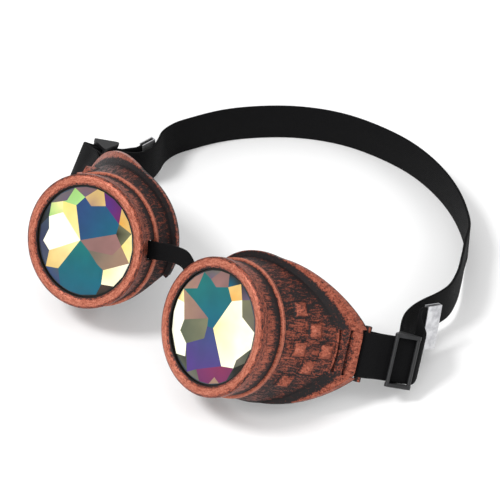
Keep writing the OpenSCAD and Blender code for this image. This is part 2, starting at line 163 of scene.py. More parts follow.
class Shader:
    """A node material under construction. A method that adds a node for a value returns its output socket."""

    def __init__(self, name):
        self.material = bpy.data.materials.new(name)
        self.material.use_nodes = True
        self.tree = self.material.node_tree
        self.tree.nodes.clear()
        self.out = self.tree.nodes.new("ShaderNodeOutputMaterial")

    def put(self, node, name, value):
        """Sets an input, by its name or number, to a value, or links another node's output to it."""
        if isinstance(value, bpy.types.NodeSocket):
            self.tree.links.new(value, node.inputs[name])
        else:
            socket = node.inputs[name]
            if socket.type == "RGBA" and len(value) == 3:
                value = (*value, 1)
            socket.default_value = value

    def coordinates(self):
        return self.tree.nodes.new("ShaderNodeTexCoord").outputs["Object"]

    def mapped(self, vector, location=(0, 0, 0), rotation=(0, 0, 0), scale=(1, 1, 1)):
        node = self.tree.nodes.new("ShaderNodeMapping")
        self.put(node, "Vector", vector)
        self.put(node, "Location", location)
        self.put(node, "Rotation", rotation)
        self.put(node, "Scale", scale)
        return node.outputs[0]

    def split(self, vector):
        node = self.tree.nodes.new("ShaderNodeSeparateXYZ")
        self.put(node, 0, vector)
        return node.outputs

    def join(self, x, y, z):
        node = self.tree.nodes.new("ShaderNodeCombineXYZ")
        for name, value in zip("XYZ", (x, y, z)):
            self.put(node, name, value)
        return node.outputs[0]

    def calc(self, operation, a, b=0.0):
        node = self.tree.nodes.new("ShaderNodeMath")
        node.operation = operation
        self.put(node, 0, a)
        self.put(node, 1, b)
        return node.outputs[0]

    def plus(self, a, b):
        return self.calc("ADD", a, b)

    def minus(self, a, b):
        return self.calc("SUBTRACT", a, b)

    def times(self, a, b):
        return self.calc("MULTIPLY", a, b)

    def larger(self, a, b):
        return self.calc("MAXIMUM", a, b)

    def distance(self, a, b):
        """Length of a line that reaches a one way and b across it."""
        return self.calc("SQRT", self.plus(self.times(a, a), self.times(b, b)))

    def weighted(self, *parts):
        """Sum of values, each times its share."""
        total = self.times(*parts[0])
        for value, share in parts[1:]:
            total = self.plus(total, self.times(value, share))
        return total

    def ramp(self, value, low, high, start=0.0, end=1.0):
        """value's stretch from low to high, smoothly mapped to start to end and held beyond."""
        node = self.tree.nodes.new("ShaderNodeMapRange")
        node.interpolation_type = "SMOOTHSTEP"
        for i, v in enumerate((value, low, high, start, end)):
            self.put(node, i, v)
        return node.outputs[0]

    def fall(self, value, low, high):
        """1 up to low, falling smoothly to 0 at high."""
        return self.ramp(value, low, high, 1.0, 0.0)

    def band(self, value, low, high, soft):
        """1 between low and high, falling to 0 within soft on each side."""
        return self.times(self.ramp(value, low - soft, low), self.fall(value, high, high + soft))

    def noise(self, vector, scale, detail, rough=0.55, twist=0.0, fourth=None):
        node = self.tree.nodes.new("ShaderNodeTexNoise")
        if fourth is not None:
            node.noise_dimensions = "4D"
            self.put(node, "W", fourth)
        self.put(node, "Vector", vector)
        self.put(node, "Scale", scale)
        self.put(node, "Detail", detail)
        self.put(node, "Roughness", rough)
        self.put(node, "Distortion", twist)
        return node.outputs["Fac"]

    def mix(self, factor, a, b):
        node = self.tree.nodes.new("ShaderNodeMix")
        node.data_type = "RGBA"
        for i, value in ((MIX_FACTOR, factor), (MIX_FIRST, a), (MIX_SECOND, b)):
            self.put(node, i, value)
        return node.outputs[MIX_RESULT]

    def bump(self, height, distance, strength):
        node = self.tree.nodes.new("ShaderNodeBump")
        self.put(node, "Height", height)
        self.put(node, "Distance", distance)
        self.put(node, "Strength", strength)
        return node.outputs[0]

    def attribute(self, name):
        node = self.tree.nodes.new("ShaderNodeAttribute")
        node.attribute_name = name
        return node.outputs["Color"]

    def principled(self, base, roughness, specular=0.5, metallic=0.0, normal=None, **more):
        """The surface itself. More inputs go by their names in small letters, with _ for a space."""
        node = self.tree.nodes.new("ShaderNodeBsdfPrincipled")
        self.put(node, "Base Color", base)
        self.put(node, "Roughness", roughness)
        self.put(node, "Specular IOR Level", specular)
        self.put(node, "Metallic", metallic)
        if normal is not None:
            self.put(node, "Normal", normal)
        for name, value in more.items():
            self.put(node, name.replace("_", " ").title(), value)
        self.tree.links.new(node.outputs[0], self.out.inputs["Surface"])


def srgb(r, g, b):
    """A colour as it looks on screen, 0 to 255, in the linear values that shaders take."""
    return tuple((v / 255 / 12.92) if v <= 10 else ((v / 255 + 0.055) / 1.055) ** 2.4 for v in (r, g, b))


# Copper tones; the pale one is a painted highlight
COPPER = srgb(152, 78, 58)
HIGHLIGHT_COPPER = srgb(200, 126, 102)
BROWN_COPPER = srgb(76, 38, 32)
SOOT = srgb(22, 16, 17)

# Stretches of a cup's finish from front to back, in millimetres behind the crest of the bezel ring
FRONT_EDGE, NECK = (4.4, 5.0), (5.3, 12.6)
RIB_FRONT, RIB_BACK, GROOVE = (12.95, 13.4), (14.35, 14.9), (15.0, 15.6)
STUDS_END_Y = 40.0

# Stretches of height above the cup's wall, below it where negative; the studs' foot is a ring of painted
# shade round each stud
STUD_FOOT_SHADE, STUD_FACE, LIP = (0.12, 0.4), (0.55, 1.2), (0.25, 0.75)
FLANGE_EDGE, INSIDE = (1.6, 3.4), (-1.4, -0.9)

# Stretches of distance in front of the flange's face side
FACE_SIDE, FLANGE, NEAR_FLANGE = (0.05, 0.3), (2.1, 3.0), (2.6, 4.2)

# Where a cup's temple side begins, toward the temple, and where it ends above and below the lens axis
TEMPLE_X, TEMPLE_Z = (18, 31), (8.5, 13.5)

# Brush strokes: squeezed along a cup's depth, which draws them out, and laid round a ring on one circle
STROKE_SQUEEZE, STROKE_CIRCLE = 0.2, 8.0

# Painted highlight on the crest of the bezel ring as radii, and its worn side as depths
CREST, SIDE_START, SIDE_END = (26.6, 28.6), (1.2, 2.4), (3.2, 3.8)


def cup_coordinates(shader, side):
    """The shading point in a cup's own frame, in millimetres, y being its depth along the lens axis."""
    back = CUP_TURN.transposed()
    centre = Vector((side * MIDDLE.x, MIDDLE.y, 0)) - Vector((LENS_SPACING / 2, 0, LENS_HEIGHT))
    scale = (side / MM, 1 / MM, 1 / MM)
    return shader.split(shader.mapped(shader.coordinates(), back @ centre, back.to_euler(), scale))


def copper_on_black(shader, amount, strokes, grain, normal, painted_highlight_share):
    """Copper paint dry-brushed over black: amount says how much, strokes and grain break it up, and the last
    argument sets how much painted highlight of pale copper tops the thickest paint.
    """
    broken = shader.weighted((strokes, 0.6), (grain, 0.4))
    spread = shader.ramp(broken, 0.3, 0.7)
    level = shader.plus(spread, shader.minus(amount, 0.5))
    paint = shader.ramp(level, 0.34, 0.56)
    tone = shader.ramp(level, 0.42, 0.85)
    # Painted highlight: pale copper where the paint is thickest
    light = shader.times(shader.ramp(level, 0.8, 1.25), painted_highlight_share)
    copper = shader.mix(light, shader.mix(tone, BROWN_COPPER, COPPER), HIGHLIGHT_COPPER)
    base = shader.mix(paint, SOOT, copper)
    rough = shader.ramp(paint, 0, 1, 0.6, 0.38)
    shader.principled(base, rough, 0.3, shader.times(paint, 0.4), normal)


def cup_material(side, name):
    """Moulded cup: scratched neck, bright ribs and studs, painted shade round the studs' feet, mottled wall,
    dark groove, bright flange.
    """
    s = Shader(name)
    x, y, z = cup_coordinates(s, side)
    wall = s.plus(WALL_R, s.times(s.minus(y, WALL_START_Y), FLARE))
    height = s.minus(s.distance(x, z), wall)
    along = s.join(x, s.times(y, STROKE_SQUEEZE), z)
    whole = s.join(x, y, z)
    strokes = s.noise(along, scale=0.95, detail=5, rough=0.7, twist=0.8)
    fine = s.noise(along, scale=2.6, detail=3, rough=0.7)
    blotch = s.noise(whole, scale=0.11, detail=3, rough=0.6, twist=0.4)
    grain = s.noise(whole, scale=1.5, detail=5, rough=0.75)

    # Places with more copper or less, from front to back
    front_edge = s.band(y, *FRONT_EDGE, 0.15)
    neck = s.band(y, *NECK, 0.3)
    rib = s.larger(s.band(y, *RIB_FRONT, 0.25), s.band(y, *RIB_BACK, 0.2))
    groove = s.band(y, *GROOVE, 0.4)
    stud_face = s.ramp(height, *STUD_FACE)
    # Painted shade: a darker ring round the foot of each stud, where it meets the wall
    stud_foot_shade = s.times(s.band(height, *STUD_FOOT_SHADE, 0.1), s.fall(y, STUDS_END_Y, STUDS_END_Y + 1))
    lip = s.times(s.band(height, *LIP, 0.15), s.ramp(y, STUDS_END_Y + 0.5, STUDS_END_Y + 1.5))
    aside = s.larger(s.minus(x, WRAP_X), 0.0)
    from_flange = s.minus(s.distance(aside, s.minus(y, FLANGE_Y + WRAP_R)), WRAP_R)
    flange = s.fall(from_flange, *FLANGE)
    temple = s.times(s.ramp(x, *TEMPLE_X), s.fall(s.calc("ABSOLUTE", z), *TEMPLE_Z))
    near_flange = s.times(s.fall(from_flange, *NEAR_FLANGE), s.minus(1.0, temple))
    edge = s.larger(s.ramp(height, *FLANGE_EDGE), s.times(temple, 0.5))

    # What each place adds to the copper or takes from it
    amount = s.plus(0.14, s.weighted(
        (blotch, 0.52), (near_flange, -0.34), (groove, -0.3), (neck, -0.16), (front_edge, 0.4),
        (stud_face, 0.36), (stud_foot_shade, -0.2), (lip, 0.2), (rib, 0.5), (temple, 0.12)))
    amount = s.weighted((amount, s.minus(1.0, flange)), (s.ramp(edge, 0, 1, 0.16, 0.8), flange))

    # The inside and the flange's face side stay black
    inside = s.times(s.fall(height, *INSIDE), s.ramp(y, 5.0, 6.5))
    plain = s.larger(inside, s.fall(from_flange, *FACE_SIDE))
    amount = s.minus(amount, s.times(plain, 0.95))
    normal = s.bump(s.weighted((strokes, 0.6), (fine, 0.35), (grain, 0.5)), 0.35 * MM, 0.9)
    copper_on_black(s, amount, strokes, grain, normal, 0.6)
    return s.material


def ring_material(side, name):
    """Bezel ring: bright copper scratched round the ring, dark pits, a painted highlight on the crest,
    painted shade at the inner lip and on the skirt, threads on its skirt.
    """
    s = Shader(name)
    x, y, z = cup_coordinates(s, side)
    radius = s.distance(x, z)
    circle = [s.calc("DIVIDE", s.times(v, STROKE_CIRCLE), radius) for v in (x, z)]
    whole = s.join(x, y, z)
    strokes = s.noise(s.join(*circle, radius), scale=1.7, detail=5, rough=0.7, twist=0.3, fourth=y)
    grain = s.noise(whole, scale=1.5, detail=5, rough=0.75)
    pits = s.ramp(s.noise(whole, scale=2.4, detail=2, rough=0.5), 0.6, 0.68)
    # Painted highlight: more pale copper along the ring's crest
    crest_highlight = s.band(radius, *CREST, 0.9)
    worn_side = s.times(s.ramp(y, *SIDE_START), s.fall(y, *SIDE_END))
    skirt = s.ramp(y, RING_DEPTH, RING_DEPTH + 0.3)
    # Painted shade: darker at the ring's inner lip and on the skirt that goes into the neck
    lip_and_skirt_shade = s.larger(skirt, s.fall(radius, OPENING_R, OPENING_R + 0.5))
    amount = s.plus(0.6, s.weighted((crest_highlight, 0.42), (worn_side, 0.1), (pits, -0.35), (lip_and_skirt_shade, -0.6)))
    angle = s.calc("DIVIDE", s.calc("ARCTAN2", z, x), FULL_TURN)
    turn = s.plus(s.calc("DIVIDE", y, THREAD_PITCH), angle)
    thread = s.times(s.calc("SINE", s.times(turn, FULL_TURN)), skirt)
    normal = s.bump(s.weighted((strokes, 0.45), (grain, 0.45), (thread, 1.2)), 0.3 * MM, 0.8)
    copper_on_black(s, amount, strokes, grain, normal, 0.8)
    return s.material


def plastic_material(name, base, roughness):
    """Plastic or rubber with a fine grain, lighter and duller where it is worn."""
    s = Shader(name)
    grain = s.noise(s.coordinates(), scale=900.0, detail=3, rough=0.6)
    wear = s.noise(s.coordinates(), scale=140.0, detail=3, rough=0.6, twist=0.5)
    lighter = tuple(min(1, v * 2.2 + 0.004) for v in base)
    colour = s.mix(s.ramp(wear, 0.5, 0.75), base, lighter)
    rough = s.ramp(wear, 0.3, 0.7, roughness, roughness + 0.12)
    s.principled(colour, rough, 0.5, 0.0, s.bump(grain, 0.06 * MM, 0.6))
    return s.material


def clip_material(name):
    """Thin tinned steel with fine rolling lines."""
    s = Shader(name)
    lines = s.noise(s.mapped(s.coordinates(), scale=(1600, 1600, 90)), scale=1.0, detail=3, rough=0.6)
    wear = s.noise(s.coordinates(), scale=220.0, detail=3, rough=0.6)
    base = s.mix(s.ramp(wear, 0.35, 0.75), srgb(214, 214, 216), srgb(168, 168, 172))
    s.principled(base, s.ramp(lines, 0.3, 0.7, 0.28, 0.42), 0.5, 0.75, s.bump(lines, 0.02 * MM, 0.5))
    return s.material


# Distance between two cross picks of the elastics' weave, in millimetres
PICK = 0.9


def elastic_material(name, rib_width, dark):
    """Woven elastic: lengthwise ribs, cross picks and a soft fuzz, from the strap's own length and width."""
    s = Shader(name)
    node = s.tree.nodes.new("ShaderNodeTexCoord")
    u, v, _ = s.split(node.outputs["UV"])
    along, across = s.times(u, 1 / MM), s.times(v, 1 / MM)
    rib = s.calc("SINE", s.times(across, FULL_TURN / rib_width))
    shift = s.times(s.calc("SIGN", rib), math.pi / 2)
    pick = s.calc("SINE", s.plus(s.times(along, FULL_TURN / PICK), shift))
    fuzz = s.noise(s.coordinates(), scale=2600.0, detail=3, rough=0.7)
    weave = s.weighted((s.calc("ABSOLUTE", rib), 0.6), (pick, 0.3), (fuzz, 0.5))
    light = tuple(v * 2.0 + 0.0015 for v in dark)
    base = s.mix(s.ramp(weave, 0.1, 1.2), dark, light)
    normal = s.bump(weave, 0.12 * MM, 0.8)
    s.principled(base, 0.8, 0.1, 0.0, normal, sheen_weight=0.02, sheen_roughness=0.5)
    return s.material


def lens_material(name):
    """Coated glass: each facet shows its own colour under a hard gloss."""
    s = Shader(name)
    tint = s.attribute("facet")
    depth = s.ramp(s.noise(s.coordinates(), scale=110.0, detail=2, rough=0.5), 0.3, 0.7, 0.0, 0.3)
    base = s.mix(depth, tint, s.mix(0.5, tint, (0.01, 0.012, 0.012)))
    smear = s.ramp(s.noise(s.coordinates(), scale=260.0, detail=2, rough=0.5), 0.4, 0.7, 0.06, 0.16)
    normal = s.bump(s.noise(s.coordinates(), scale=300.0, detail=1), 0.004 * MM, 0.3)
    s.principled(base, smear, 0.22, 0.0, normal, coat_weight=0.12, coat_roughness=0.03)
    return s.material


# Lenses

PALETTE = {
    "teal": srgb(22, 104, 98), "sea": srgb(14, 88, 112), "blue": srgb(38, 62, 108), "navy": srgb(44, 46, 78),
    "slate": srgb(56, 72, 88), "purple": srgb(70, 40, 118), "violet": srgb(98, 84, 104),
    "plum": srgb(104, 30, 88), "magenta": srgb(118, 28, 72), "rose": srgb(140, 102, 98),
    "mauve": srgb(124, 94, 90), "tan": srgb(156, 124, 102), "sand": srgb(212, 180, 112),
    "orange": srgb(228, 168, 84), "amber": srgb(206, 148, 60), "cream": srgb(244, 226, 158),
    "yellow": srgb(232, 208, 116), "white": srgb(255, 252, 226), "green": srgb(150, 196, 112),
    "mint": srgb(160, 206, 128), "olive": srgb(112, 112, 84), "moss": srgb(72, 80, 60),
    "grey": srgb(100, 96, 86), "dark": srgb(30, 28, 20), "umber": srgb(58, 36, 28),
}

# Facets of the crowns: colour at the first corner, colour far from it, and the corners (x, z) in millimetres
RIGHT_FACETS = [
    ("sea", "teal", [(3.3, 0.3), (-0.2, 0.2), (-0.7, 3.6), (-11.9, 8.6), (-20.8, 11.2), (-12.3, 13.8),
                     (-11.0, 20.4), (-5.8, 19.5), (-1.4, 17.1), (5.0, 18.7), (9.2, 13.7)]),
    ("orange", "sand", [(9.2, 13.7), (5.0, 18.7), (10.5, 21.1), (14.0, 15.4)]),
    ("cream", "white", [(3.3, 0.3), (9.2, 13.7), (14.0, 15.4), (16.5, 8.7), (21.9, 3.7), (23.1, -2.9),
                        (18.0, -9.5), (17.1, -13.3), (10.9, -14.2)]),
    ("blue", "purple", [(3.3, 0.3), (10.9, -14.2), (-3.2, -19.5), (-8.4, -20.6), (-11.3, -10.3),
                        (-0.6, -5.2), (-0.2, 0.2)]),
    ("magenta", "plum", [(10.9, -14.2), (17.1, -13.3), (14.2, -19.8), (10.0, -21.0), (7.7, -19.9),
                         (4.4, -22.6), (-1.0, -22.9), (-3.2, -19.5)]),
    ("tan", "tan", [(7.7, -19.9), (10.0, -21.0), (4.4, -22.6)]),
    ("moss", "grey", [(-3.2, -19.5), (-1.0, -22.9), (-6.9, -22.8), (-8.4, -20.6)]),
    ("dark", "moss", [(-11.0, -16.0), (-11.3, -10.3), (-8.4, -20.6), (-6.9, -22.8), (-16.9, -15.9)]),
    ("white", "white", [(-18.2, 6.1), (-15.4, -0.8), (-16.8, -6.0), (-11.3, -10.3), (-11.0, -16.0),
                        (-16.9, -15.9), (-23.5, -7.8), (-25.4, 0.6), (-23.9, 6.4)]),
    ("mauve", "tan", [(-0.7, 3.6), (-15.4, -0.8), (-18.2, 6.1), (-20.8, 11.2), (-11.9, 8.6)]),
    ("olive", "moss", [(-0.2, 0.2), (-0.6, -5.2), (-11.3, -10.3), (-16.8, -6.0), (-15.4, -0.8),
                       (-0.7, 3.6)]),
    ("sand", "cream", [(-23.9, 6.4), (-20.8, 11.2), (-18.2, 6.1)]),
    ("tan", "rose", [(-20.8, 11.2), (-12.3, 13.8), (-11.0, 20.4), (-16.2, 18.2), (-19.5, 14.7)]),
    ("rose", "mauve", [(-1.4, 17.1), (-5.8, 19.5), (-1.8, 22.7), (2.9, 21.7), (5.0, 18.7)]),
    ("violet", "grey", [(-5.8, 19.5), (-11.0, 20.4), (-7.2, 23.1), (-1.8, 22.7)]),
    ("sea", "dark", [(5.0, 18.7), (2.9, 21.7), (6.5, 22.6), (10.5, 21.1)]),
    ("olive", "grey", [(14.0, 15.4), (16.2, 15.1), (20.3, 9.3), (21.9, 3.7), (16.5, 8.7)]),
    ("grey", "moss", [(18.0, -9.5), (23.1, -2.9), (21.4, -9.4), (17.1, -13.3)]),
    ("dark", "violet", [(10.5, 21.1), (16.2, 15.1), (14.0, 15.4)]),
]
LEFT_FACETS = [
    ("cream", "sand", [(1.0, 0.1), (11.3, -15.1), (8.1, -20.8), (2.7, -18.3)]),
    ("white", "white", [(1.0, 0.1), (16.1, 3.3), (21.0, -3.4), (17.4, -7.4), (16.7, -14.0), (11.3, -15.1)]),
    ("cream", "yellow", [(1.0, 0.1), (12.8, 10.2), (19.5, 6.8), (16.1, 3.3)]),
    ("cream", "green", [(19.5, 6.8), (24.4, 1.9), (21.0, -3.4), (16.1, 3.3)]),
    ("mint", "green", [(12.8, 10.2), (18.1, 8.5), (19.0, 15.3), (11.8, 15.8)]),
    ("green", "mint", [(19.5, 6.8), (12.8, 10.2), (18.1, 8.5)]),
    ("violet", "grey", [(18.1, 8.5), (19.5, 6.8), (24.4, 1.9), (23.5, 8.5), (19.0, 15.3)]),
    ("violet", "mauve", [(11.8, 15.8), (19.0, 15.3), (14.9, 19.4), (9.4, 21.8)]),
    ("tan", "sand", [(6.7, 15.0), (11.8, 15.8), (9.4, 21.8), (6.2, 23.4), (1.3, 19.6)]),
    ("purple", "plum", [(1.3, 19.6), (6.2, 23.4), (0.4, 24.3), (-5.1, 23.3), (-8.8, 17.8)]),
    ("sea", "blue", [(-10.6, 13.6), (1.0, 0.1), (12.8, 10.2), (11.8, 15.8), (6.7, 15.0), (1.3, 19.6),
                     (-8.8, 17.8)]),
    ("amber", "sand", [(-8.8, 17.8), (-5.1, 23.3), (-11.1, 21.4), (-15.8, 18.0)]),
    ("dark", "olive", [(-10.6, 13.6), (-8.8, 17.8), (-15.8, 18.0), (-15.7, 11.0)]),
    ("yellow", "cream", [(-15.7, 11.0), (-15.8, 18.0), (-20.5, 12.8), (-22.6, 7.0)]),
    ("mauve", "rose", [(1.0, 0.1), (-10.6, 13.6), (-15.7, 11.0), (-15.0, 5.1), (-4.8, -0.7)]),
    ("grey", "tan", [(-4.8, -0.7), (-15.0, 5.1), (-15.7, 11.0), (-22.6, 7.0), (-15.6, -3.2),
                     (-11.9, -2.9)]),
    ("cream", "white", [(-15.6, -3.2), (-22.6, 7.0), (-23.9, 0.4), (-23.2, -6.1), (-18.4, -9.2)]),
    ("umber", "dark", [(-18.4, -9.2), (-23.2, -6.1), (-22.2, -10.7), (-19.4, -15.5)]),
    ("teal", "sea", [(1.0, 0.1), (-4.8, -0.7), (-11.9, -2.9), (-15.6, -3.2), (-18.4, -9.2), (-19.4, -15.5),
                     (-13.5, -21.5), (-7.4, -23.9), (-2.1, -23.9), (2.7, -18.3)]),
    ("slate", "blue", [(2.7, -18.3), (-2.1, -23.9), (4.7, -23.9), (8.1, -20.8)]),
    ("navy", "slate", [(16.7, -14.0), (11.3, -15.1), (8.1, -20.8), (4.7, -23.9), (12.8, -21.4),
                       (19.0, -16.1)]),
    ("slate", "navy", [(21.0, -3.4), (17.4, -7.4), (16.7, -14.0), (19.0, -16.1), (22.2, -9.4)]),
]

# The crown's edge and the steps round it, and the chamfer on the glass's own edges
CROWN_R = LENS_R - 1.4
RIM_STEPS = 72
CHAMFER = 0.3

# A facet's corner beyond this share of the crown's radius is moved to this far inside its edge
NEAR_RIM, RIM_INSET = 0.9, 0.15

# Facet corners closer than this are one corner
SAME_CORNER = 0.35


def crown_depth(x, z):
    """Depth of the crown's surface along the lens axis."""
    share = min(1.0, math.hypot(x, z) / CROWN_R)
    return LENS_FRONT_Y - CROWN_H * (1 - share ** 2)


def crown_surface(facets):
    """Splits the crown's disc along the facets' edges, into corners, triangles and each triangle's facet."""
    points, faces = [], []
    for _, _, corners in facets:
        face = []
        for x, z in corners:
            reach = math.hypot(x, z)
            if reach > NEAR_RIM * CROWN_R:
                x, z = x * (CROWN_R - RIM_INSET) / reach, z * (CROWN_R - RIM_INSET) / reach
            for i, p in enumerate(points):
                if (p - Vector((x, z))).length < SAME_CORNER:
                    face.append(i)
                    break
            else:
                face.append(len(points))
                points.append(Vector((x, z)))
        ring = [points[i] for i in face]
        turning = sum(a.x * b.y - b.x * a.y for a, b in zip(ring, ring[1:] + ring[:1]))
        faces.append(face if turning > 0 else face[::-1])
    first = len(points)
    turns = [FULL_TURN * i / RIM_STEPS for i in range(RIM_STEPS)]
    points += [Vector((CROWN_R * math.cos(a), CROWN_R * math.sin(a))) for a in turns]
    rim = list(range(first, first + RIM_STEPS))
    corners, _, triangles, _, _, sources = delaunay_2d_cdt(points, [], faces + [rim], 1, 1e-4)
    owners = [min(source) if source else len(faces) for source in sources]
    return corners, triangles, owners


def facet_colour(facets, owner, p):
    """A facet's colour at p. The strip between the facets and the rim has its own colours."""
    if owner >= len(facets):
        lean = 0.5 + 0.5 * math.sin(3 * math.atan2(p.y, p.x))
        return Vector(PALETTE["dark"]).lerp(Vector(PALETTE["slate"]), lean)
    first, far, corners = facets[owner]
    origin = Vector(corners[0])
    reach = max((Vector(q) - origin).length for q in corners)
    share = min(1.0, (p - origin).length / reach)
    return Vector(PALETTE[first]).lerp(Vector(PALETTE[far]), share)


def lens_solid(facets):
    """The glass in a cup's own frame: points, faces, their corners' colours and the triangles' facets."""
    corners, triangles, owners = crown_surface(facets)
    points = [Vector((p.x, crown_depth(p.x, p.y), p.y)) for p in corners]
    rim = [i for i, p in enumerate(corners) if abs(p.length - CROWN_R) < 0.01]
    rim.sort(key=lambda i: math.atan2(corners[i].y, corners[i].x))
    rings = [rim]
    for radius, depth in ((LENS_R - CHAMFER, LENS_FRONT_Y), (LENS_R, LENS_FRONT_Y + CHAMFER),
                          (LENS_R, LENS_BACK_Y - CHAMFER), (LENS_R - CHAMFER, LENS_BACK_Y)):
        first = len(points)
        for i in rim:
            out = corners[i].normalized() * radius
            points.append(Vector((out.x, depth, out.y)))
        rings.append(list(range(first, len(points))))
    centre = len(points)
    points.append(Vector((0, LENS_BACK_Y, 0)))
    faces, colours = [], []
    for triangle, owner in zip(triangles, owners):
        faces.append(list(triangle))
        colours.append([facet_colour(facets, owner, corners[i]) for i in triangle])
    edge_colour = Vector(PALETTE["dark"]) * 0.5
    back_colour = edge_colour.lerp(Vector(PALETTE["violet"]), 0.4)
    n = len(rim)
    for a, b in zip(rings, rings[1:]):
        for i in range(n):
            faces.append([a[i], a[(i + 1) % n], b[(i + 1) % n], b[i]])
            colours.append([edge_colour] * 4)
    for i in range(n):
        faces.append([rings[-1][i], rings[-1][(i + 1) % n], centre])
        colours.append([back_colour] * 3)
    return points, faces, colours, owners


def facet_normals(mesh, facets, owners):
    """One normal for all triangles of a facet, so that it shades as one flat cut."""
    groups = {}
    for f, owner in enumerate(owners):
        if owner < len(facets):
            groups.setdefault(owner, []).append(f)
    normals = {}
    for members in groups.values():
        total = sum((mesh.polygons[f].normal * mesh.polygons[f].area for f in members), Vector())
        for f in members:
            normals[f] = total.normalized()
    return normals


def add_lens(side, name, facets):
    """Thick round glass with a crown of coloured facets. Stands for the plain lens of the CAD model."""
    points, faces, colours, owners = lens_solid(facets)
    mesh = bpy.data.meshes.new(name)
    mesh.from_pydata([to_part(cup_point(side, p)) for p in points], [], faces)
    mesh.update()
    if mesh.polygons[0].normal.dot(cup_direction(side, (0, -1, 0))) <= 0:
        mesh.flip_normals()
    flat = facet_normals(mesh, facets, owners)
    layer = mesh.color_attributes.new("facet", "FLOAT_COLOR", "CORNER")
    normals = [Vector()] * len(mesh.loops)
    for f, polygon in enumerate(mesh.polygons):
        for loop in polygon.loop_indices:
            corner = faces[f].index(mesh.loops[loop].vertex_index)
            layer.data[loop].color = (*colours[f][corner], 1)
            normals[loop] = flat.get(f, polygon.normal)
    mesh.normals_split_custom_set(normals)
    obj = add_object(name, mesh)
    obj.data.materials.append(lens_material(name + "_glass"))
    return obj


# Head strap and nose band

def wrap_depth(x):
    """Depth of the flange's face side at a distance x toward the temple."""
    return FLANGE_Y + WRAP_R - math.sqrt(WRAP_R ** 2 - (x - WRAP_X) ** 2)


# Strap bar at the temple, and the gaps between the strap and what it goes round
BAR_R, SEAT_GAP, FOLD_GAP = 1.6, 0.3, 0.35
SLOT_HALF = STRAP_W / 2 + 0.8
BAR_X = TEMPLE_SHIFT + math.sqrt(TEMPLE_R ** 2 - (SLOT_HALF + 2.3) ** 2)
BAR_Y = wrap_depth(BAR_X) + 3
LOOP_R = BAR_R + SEAT_GAP + STRAP_T / 2

# Doubled strap: its direction at each bar, half the distance of its layers, and where it and the slider lie
RIGHT_TURN, LEFT_TURN = 60, 43
LAYER = (STRAP_T + SEAT_GAP) / 2
PAIR_START, SLIDER_REACH, RIGHT_SEAT_U = 7, 5, 18

# The slider's centre bar and the strap's fold round it
CENTRE_BAR_R, CENTRE_BAR_U = 1, -0.8
CENTRE_BAR_V = -(LAYER + STRAP_T / 2 + FOLD_GAP + CENTRE_BAR_R)
FOLD_R = CENTRE_BAR_R + FOLD_GAP + STRAP_T / 2

# Nose band in a cup: angle from the temple side, depth, and radius of its stop
BAND_ANGLE, BAND_Y, STOP_R = 148, 11.2, 24.4


def strap_plane(turn, u, v):
    """A point across the strap bar: u along the strap away from the cup, v outward."""
    c, s = math.cos(math.radians(turn)), math.sin(math.radians(turn))
    return Vector((BAR_X + u * c + v * s, BAR_Y + u * s - v * c, 0))


def bar_station(side, turn, u, v):
    """A station is a point of the strap's middle and the direction of its width."""
    return cup_point(side, strap_plane(turn, u, v)), cup_direction(side, (0, 0, 1))


def at(x, y, z, *width):
    """A listed station, upright where no width is given."""
    return Vector((x, y, z)), Vector(width or (0, 0, 1))


def heading(turn):
    return math.cos(math.radians(turn)), math.sin(math.radians(turn)), 0


# A slider's seat: its centre, the strap's direction and the direction of the strap's width
RIGHT_SEAT = (cup_point(1, strap_plane(RIGHT_TURN, RIGHT_SEAT_U, 0)), cup_direction(1, heading(RIGHT_TURN)),
              cup_direction(1, (0, 0, 1)))
LEFT_LEAN = Vector((0.1, 0.25, 0.963)).normalized()
LEFT_HEADING = LEFT_LEAN.cross(Vector((1, 1, -0.36))).cross(LEFT_LEAN).normalized()
LEFT_SEAT = (Vector((-96.6, 64.8, 13.4)), LEFT_HEADING, LEFT_LEAN)

# The strap's free stretches, given from the floor point between the lenses, as in the CAD source
RIGHT_TAIL = [
    at(91.9, 88.7, 15.1, -0.15, 0.35, 0.9125), at(90.8, 85.1, 16.3, -0.15, 0.35, 0.9125),
    at(89.7, 81.5, 17.5, -0.15, 0.35, 0.9125), at(89.3, 80.2, 17.9, -0.15, 0.35, 0.9125),
    at(90.2, 77.2, 17.8, -0.16, 0.38, 0.9), at(94.2, 73.4, 16.7, -0.19, 0.47, 0.86),
    at(99.2, 69.4, 15.3, -0.23, 0.55, 0.8)]
LEFT_TAIL = [
    at(-85.4, 88.5, 11.2), at(-85.8, 84.7, 11.2), at(-86.2, 80.9, 11.2), at(-86.5, 79.4, 11.2),
    at(-88.6, 75.4, 11.4, 0.05, 0.12, 0.99)]
LEFT_BEND = [
    at(-93.2, 52.6, 21.2, 0.21, 0.48, 0.85), at(-100.2, 55, 18.6, 0.19, 0.42, 0.88),
    at(-103.6, 57.2, 17.1, 0.16, 0.34, 0.93)]
